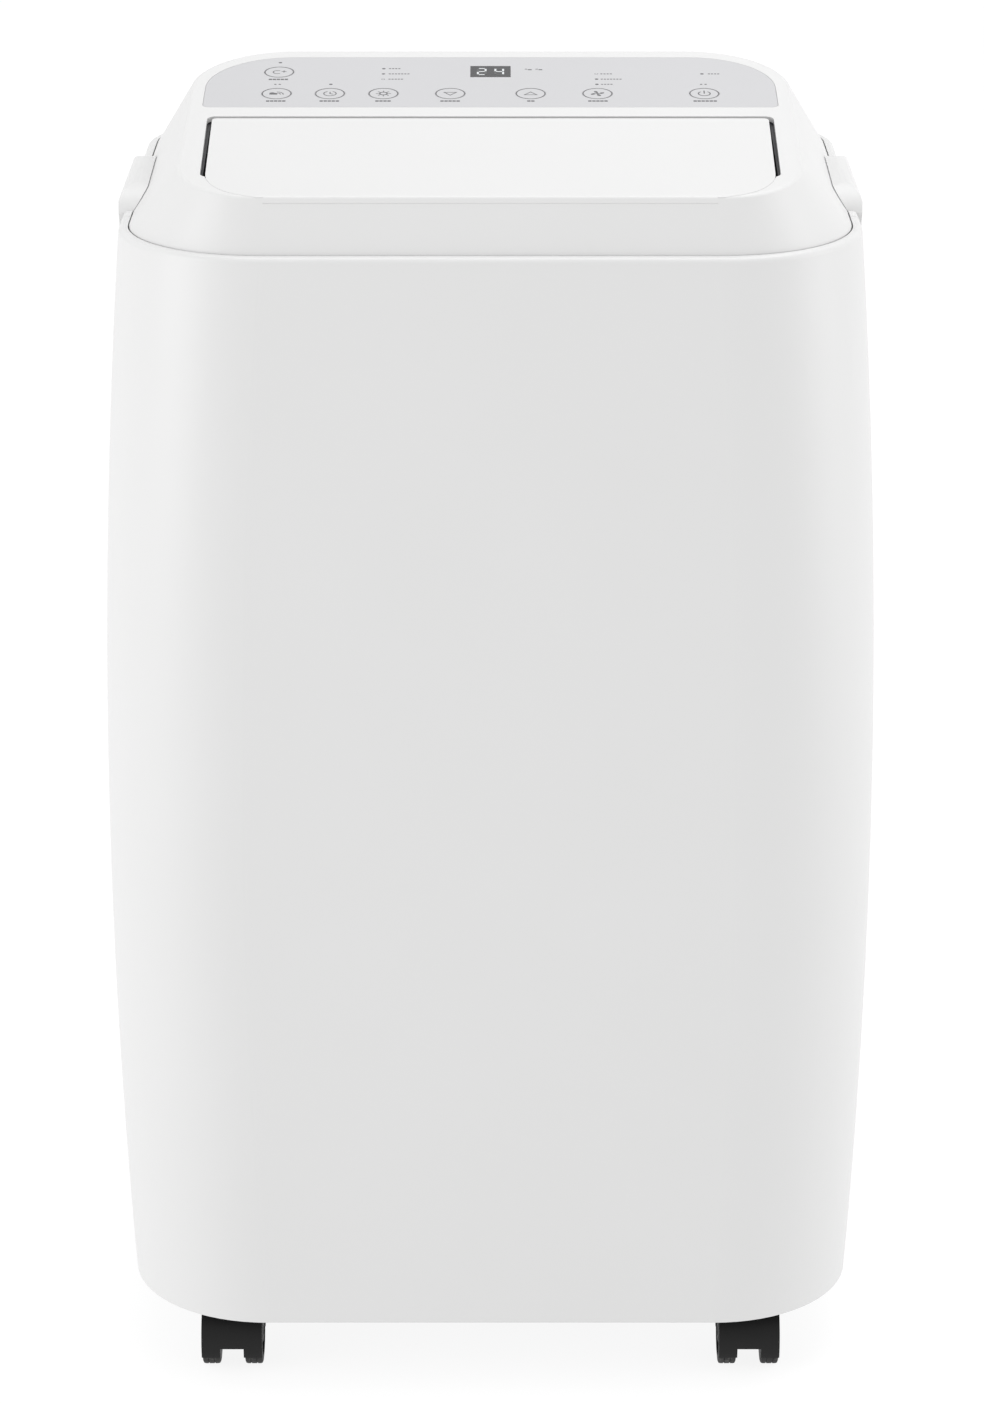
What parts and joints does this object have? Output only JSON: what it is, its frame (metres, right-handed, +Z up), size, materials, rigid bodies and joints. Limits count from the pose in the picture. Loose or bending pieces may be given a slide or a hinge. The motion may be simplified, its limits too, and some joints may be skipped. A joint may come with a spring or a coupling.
{
  "type": "portable air conditioner",
  "caption": "Barrel-shaped floor air conditioner on twin-wheel casters, with a sloping top, a hinged louvre flap, a grey key panel and a rear hose collar.",
  "frame": {"origin": "on the floor under the centre of the machine's bounding box", "axes": "+Z up, the front with the flap faces -Y, +X is the right-hand side seen from the front"},
  "size_m": [0.455, 0.383, 0.7726],
  "materials": {
    "white_shell": "fine satin moulded white plastic",
    "panel_grey": "smooth light grey overlay",
    "smoked_window": "smoked display window",
    "display_block": "black display housing",
    "lamp_lens": "dark lamp lens, unlit",
    "circuit_board": "green board laminate",
    "inner_plastic": "dark grey duct plastic",
    "vane_plastic": "light grey plastic",
    "wheel_plastic": "black fan plastic",
    "motor_metal": "plain motor can",
    "coil_fins": "bare thin fins",
    "galvanised_sheet": "galvanised sheet",
    "pan_plastic": "dark grey base plastic",
    "compressor_paint": "black painted can",
    "copper_pipe": "drawn copper",
    "black_rubber": "matte rubber",
    "screw_steel": "zinc plated screws",
    "caster_black": "black nylon",
    "tread_black": "black nylon tread"
  },
  "bodies": {
    "cabinet": {"base_pan": "pan_plastic", "blower_motor": "motor_metal", "blower_scroll": "inner_plastic", "cabinet_screws": "screw_steel", "compressor": "compressor_paint", "compressor_mounts": "black_rubber", "condenser": "coil_fins", "condenser_motor": "motor_metal", "condenser_scroll": "inner_plastic", "control_board": "circuit_board", "control_panel": "panel_grey", "cord_hooks": "white_shell", "cord_inlet": "black_rubber", "display_module": "display_block", "display_window": "smoked_window", "drip_tray": "inner_plastic", "electrical_box": "galvanised_sheet", "evaporator": "coil_fins", "exhaust_collar": "white_shell", "exhaust_duct": "inner_plastic", "flap_motor": "motor_metal", "front_shell": "white_shell", "indicator_lamps": "lamp_lens", "main_board": "circuit_board", "outlet_duct": "inner_plastic", "partition": "galvanised_sheet", "rear_shell": "white_shell", "refrigerant_pipes": "copper_pipe", "side_handle_left": "white_shell", "side_handle_right": "white_shell", "top_cover": "white_shell"},
    "louver_flap": {"louver_flap": "white_shell"},
    "key_sleep": {"key_sleep": "panel_grey"},
    "key_swing": {"key_swing": "panel_grey"},
    "key_timer": {"key_timer": "panel_grey"},
    "key_mode": {"key_mode": "panel_grey"},
    "key_down": {"key_down": "panel_grey"},
    "key_up": {"key_up": "panel_grey"},
    "key_speed": {"key_speed": "panel_grey"},
    "key_power": {"key_power": "panel_grey"},
    "vane_1": {"vane_1": "vane_plastic"},
    "vane_2": {"vane_2": "vane_plastic"},
    "vane_3": {"vane_3": "vane_plastic"},
    "vane_4": {"vane_4": "vane_plastic"},
    "vane_5": {"vane_5": "vane_plastic"},
    "vane_link": {"vane_link": "vane_plastic"},
    "blower_wheel": {"blower_wheel": "wheel_plastic"},
    "condenser_wheel": {"condenser_wheel": "wheel_plastic"},
    "upper_filter_grille": {"upper_filter_grille": "white_shell"},
    "lower_filter_grille": {"lower_filter_grille": "white_shell"},
    "upper_drain_plug": {"upper_drain_plug": "black_rubber"},
    "lower_drain_plug": {"lower_drain_plug": "black_rubber"},
    "caster_front_left": {"caster_housing_front_left": "caster_black"},
    "wheels_front_left": {"caster_wheels_front_left": "tread_black"},
    "caster_front_right": {"caster_housing_front_right": "caster_black"},
    "wheels_front_right": {"caster_wheels_front_right": "tread_black"},
    "caster_rear_left": {"caster_housing_rear_left": "caster_black"},
    "wheels_rear_left": {"caster_wheels_rear_left": "tread_black"},
    "caster_rear_right": {"caster_housing_rear_right": "caster_black"},
    "wheels_rear_right": {"caster_wheels_rear_right": "tread_black"}
  },
  "joints": [
    {"name": "flap_open", "type": "hinge", "parent": "cabinet", "child": "louver_flap", "pos_m": [0, -0.0574, 0.74405], "axis": [-1, 0, 0], "range_deg": [0, 65]},
    {"name": "press_sleep", "type": "slide", "parent": "cabinet", "child": "key_sleep", "axis": [0, 0.165, -0.9863], "range_m": [0, 0.0005], "stiffness_N_per_m": 1500},
    {"name": "press_swing", "type": "slide", "parent": "cabinet", "child": "key_swing", "axis": [0, 0.165, -0.9863], "range_m": [0, 0.0005], "stiffness_N_per_m": 1500},
    {"name": "press_timer", "type": "slide", "parent": "cabinet", "child": "key_timer", "axis": [0, 0.165, -0.9863], "range_m": [0, 0.0005], "stiffness_N_per_m": 1500},
    {"name": "press_mode", "type": "slide", "parent": "cabinet", "child": "key_mode", "axis": [0, 0.165, -0.9863], "range_m": [0, 0.0005], "stiffness_N_per_m": 1500},
    {"name": "press_down", "type": "slide", "parent": "cabinet", "child": "key_down", "axis": [0, 0.165, -0.9863], "range_m": [0, 0.0005], "stiffness_N_per_m": 1500},
    {"name": "press_up", "type": "slide", "parent": "cabinet", "child": "key_up", "axis": [0, 0.165, -0.9863], "range_m": [0, 0.0005], "stiffness_N_per_m": 1500},
    {"name": "press_speed", "type": "slide", "parent": "cabinet", "child": "key_speed", "axis": [0, 0.165, -0.9863], "range_m": [0, 0.0005], "stiffness_N_per_m": 1500},
    {"name": "press_power", "type": "slide", "parent": "cabinet", "child": "key_power", "axis": [0, 0.165, -0.9863], "range_m": [0, 0.0005], "stiffness_N_per_m": 1500},
    {"name": "vane_1_tilt", "type": "hinge", "parent": "cabinet", "child": "vane_1", "pos_m": [-0.128, -0.09, 0.696], "axis": [0, 1, 0], "range_deg": [-35, 35]},
    {"name": "vane_2_tilt", "type": "hinge", "parent": "cabinet", "child": "vane_2", "pos_m": [-0.064, -0.09, 0.696], "axis": [0, 1, 0], "range_deg": [-35, 35]},
    {"name": "vane_3_tilt", "type": "hinge", "parent": "cabinet", "child": "vane_3", "pos_m": [0, -0.09, 0.696], "axis": [0, 1, 0], "range_deg": [-35, 35]},
    {"name": "vane_4_tilt", "type": "hinge", "parent": "cabinet", "child": "vane_4", "pos_m": [0.064, -0.09, 0.696], "axis": [0, 1, 0], "range_deg": [-35, 35]},
    {"name": "vane_5_tilt", "type": "hinge", "parent": "cabinet", "child": "vane_5", "pos_m": [0.128, -0.09, 0.696], "axis": [0, 1, 0], "range_deg": [-35, 35]},
    {"name": "link_swing", "type": "hinge", "parent": "vane_3", "child": "vane_link", "pos_m": [0, -0.137, 0.68], "axis": [0, 1, 0], "range_deg": [-35, 35]},
    {"name": "blower_spin", "type": "hinge", "parent": "cabinet", "child": "blower_wheel", "pos_m": [0, -0.09, 0.56], "axis": [0, 1, 0], "continuous": true},
    {"name": "condenser_fan_spin", "type": "hinge", "parent": "cabinet", "child": "condenser_wheel", "pos_m": [-0.035, 0.05, 0.215], "axis": [0, 1, 0], "continuous": true},
    {"name": "upper_filter_pull", "type": "slide", "parent": "cabinet", "child": "upper_filter_grille", "axis": [0, 1, 0], "range_m": [0, 0.06]},
    {"name": "lower_filter_pull", "type": "slide", "parent": "cabinet", "child": "lower_filter_grille", "axis": [0, 1, 0], "range_m": [0, 0.06]},
    {"name": "upper_plug_pull", "type": "slide", "parent": "cabinet", "child": "upper_drain_plug", "axis": [0, 1, 0], "range_m": [0, 0.025]},
    {"name": "lower_plug_pull", "type": "slide", "parent": "cabinet", "child": "lower_drain_plug", "axis": [0, 1, 0], "range_m": [0, 0.025]},
    {"name": "swivel_front_left", "type": "hinge", "parent": "cabinet", "child": "caster_front_left", "pos_m": [-0.158, -0.13, 0.05], "axis": [0, 0, 1], "continuous": true},
    {"name": "roll_front_left", "type": "hinge", "parent": "caster_front_left", "child": "wheels_front_left", "pos_m": [-0.158, -0.146, 0.02], "axis": [1, 0, 0], "continuous": true},
    {"name": "swivel_front_right", "type": "hinge", "parent": "cabinet", "child": "caster_front_right", "pos_m": [0.158, -0.13, 0.05], "axis": [0, 0, 1], "continuous": true},
    {"name": "roll_front_right", "type": "hinge", "parent": "caster_front_right", "child": "wheels_front_right", "pos_m": [0.158, -0.146, 0.02], "axis": [1, 0, 0], "continuous": true},
    {"name": "swivel_rear_left", "type": "hinge", "parent": "cabinet", "child": "caster_rear_left", "pos_m": [-0.158, 0.12, 0.05], "axis": [0, 0, 1], "continuous": true},
    {"name": "roll_rear_left", "type": "hinge", "parent": "caster_rear_left", "child": "wheels_rear_left", "pos_m": [-0.158, 0.104, 0.02], "axis": [1, 0, 0], "continuous": true},
    {"name": "swivel_rear_right", "type": "hinge", "parent": "cabinet", "child": "caster_rear_right", "pos_m": [0.158, 0.12, 0.05], "axis": [0, 0, 1], "continuous": true},
    {"name": "roll_rear_right", "type": "hinge", "parent": "caster_rear_right", "child": "wheels_rear_right", "pos_m": [0.158, 0.104, 0.02], "axis": [1, 0, 0], "continuous": true}
  ],
  "couplings": [
    {"joint": "vane_1_tilt", "follows": "vane_3_tilt", "ratio": 1},
    {"joint": "vane_2_tilt", "follows": "vane_3_tilt", "ratio": 1},
    {"joint": "vane_4_tilt", "follows": "vane_3_tilt", "ratio": 1},
    {"joint": "vane_5_tilt", "follows": "vane_3_tilt", "ratio": 1},
    {"joint": "link_swing", "follows": "vane_3_tilt", "ratio": -1}
  ]
}
